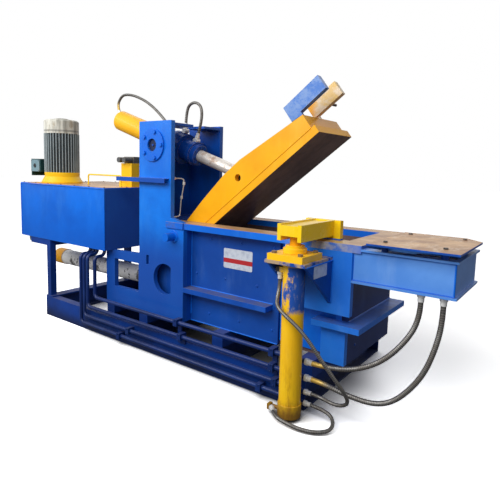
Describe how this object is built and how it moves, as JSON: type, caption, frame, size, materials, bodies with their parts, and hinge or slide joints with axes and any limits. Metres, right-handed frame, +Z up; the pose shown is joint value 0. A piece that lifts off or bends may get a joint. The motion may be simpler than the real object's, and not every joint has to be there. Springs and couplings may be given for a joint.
{
  "type": "recycling baler",
  "caption": "Hydraulic scrap baler: press box with a hinged lid, lid cylinder on a column, long ram, side lifter, lock bolt, oil tank and motor on a steel skid.",
  "frame": {"origin": "middle of the machine's footprint on the floor, hoses not counted", "axes": "+X along the machine towards the lock frame, +Y away from the working side with the lifter, +Z up"},
  "size_m": [4.331, 1.5, 2.1556],
  "materials": {
    "blue_paint": "semi-gloss",
    "yellow_paint": "semi-gloss",
    "primer": "matt",
    "bare_plate": "worn",
    "chrome_rod": "polished",
    "steel": "machined",
    "motor_grey": "semi-gloss",
    "hose_rubber": "matt"
  },
  "bodies": {
    "frame": {"bearing_rings": "blue_paint", "bell_housing": "yellow_paint", "box_corner_posts": "blue_paint", "box_end_wall": "blue_paint", "box_far_wall": "blue_paint", "box_floor": "bare_plate", "box_liners": "bare_plate", "box_near_wall": "blue_paint", "box_rim": "primer", "column_covers": "blue_paint", "column_far_plate": "blue_paint", "ferrules_frame": "steel", "hexagon_bolts": "steel", "hinge_pin": "steel", "hose_lifter_low": "hose_rubber", "hose_lifter_top": "hose_rubber", "hose_lock_left": "hose_rubber", "hose_lock_right": "hose_rubber", "lifter_cylinder": "yellow_paint", "lifter_mount": "blue_paint", "lock_cylinder": "steel", "lock_frame": "blue_paint", "lock_frame_cover": "primer", "motor_case": "motor_grey", "oil_pump": "steel", "oil_tank": "blue_paint", "pipe_clamps": "blue_paint", "press_bulkhead": "blue_paint", "press_far_plate": "blue_paint", "press_near_plate": "blue_paint", "press_stiffeners": "blue_paint", "ram_cylinder": "yellow_paint", "rigid_pipes": "blue_paint", "skid_cross_beams": "blue_paint", "skid_rails": "blue_paint", "tank_cover": "primer", "tank_fittings": "yellow_paint", "tank_stand": "blue_paint", "terminal_case": "blue_paint", "valve_stack": "yellow_paint"},
    "lid": {"lid_near_side": "yellow_paint", "lid_far_side": "yellow_paint", "lid_press_plate": "bare_plate", "lid_ribs": "yellow_paint", "lid_hub": "yellow_paint", "lid_stops": "yellow_paint", "rod_pin": "steel"},
    "lid_cylinder_body": {"lid_cylinder": "yellow_paint", "hose_lid_rear": "hose_rubber", "hose_lid_front": "hose_rubber", "ferrules_lid": "steel"},
    "lid_rod_body": {"lid_cylinder_rod": "chrome_rod"},
    "ram_body": {"ram_head": "blue_paint", "ram_rod": "chrome_rod"},
    "lifter_body": {"lifter_rod": "chrome_rod", "lifter_yoke": "yellow_paint", "lifter_plate": "yellow_paint"},
    "lock_body": {"lock_bar": "chrome_rod"},
    "rotor_body": {"motor_rotor": "steel"}
  },
  "joints": [
    {"name": "lid_hinge", "type": "hinge", "parent": "frame", "child": "lid", "pos_m": [0.073, 0, 0.957], "axis": [0, -1, 0], "range_deg": [-37.9, 10.1]},
    {"name": "lid_cylinder_tilt", "type": "hinge", "parent": "frame", "child": "lid_cylinder_body", "pos_m": [-0.165, -0.1015, 1.662], "axis": [0, -1, 0], "range_deg": [-16.89, 4.51]},
    {"name": "lid_rod_slide", "type": "slide", "parent": "lid_cylinder_body", "child": "lid_rod_body", "axis": [0.9524, 0, -0.3048], "range_m": [-0.09625, 0.36035]},
    {"name": "ram_slide", "type": "slide", "parent": "frame", "child": "ram_body", "axis": [1, 0, 0], "range_m": [-0.215, 0.84]},
    {"name": "lifter_slide", "type": "slide", "parent": "frame", "child": "lifter_body", "axis": [0, 0, 1], "range_m": [0, 0.5]},
    {"name": "lock_slide", "type": "slide", "parent": "frame", "child": "lock_body", "axis": [-1, 0, 0], "range_m": [0, 0.12]},
    {"name": "motor_spin", "type": "hinge", "parent": "frame", "child": "rotor_body", "pos_m": [-1.713, -0.24, 1.6], "axis": [0, 0, 1], "continuous": true}
  ],
  "couplings": [
    {"joint": "lid_cylinder_tilt", "follows": "lid_hinge", "ratio": 0.445},
    {"joint": "lid_rod_slide", "follows": "lid_hinge", "m_per_rad": -0.54431}
  ]
}
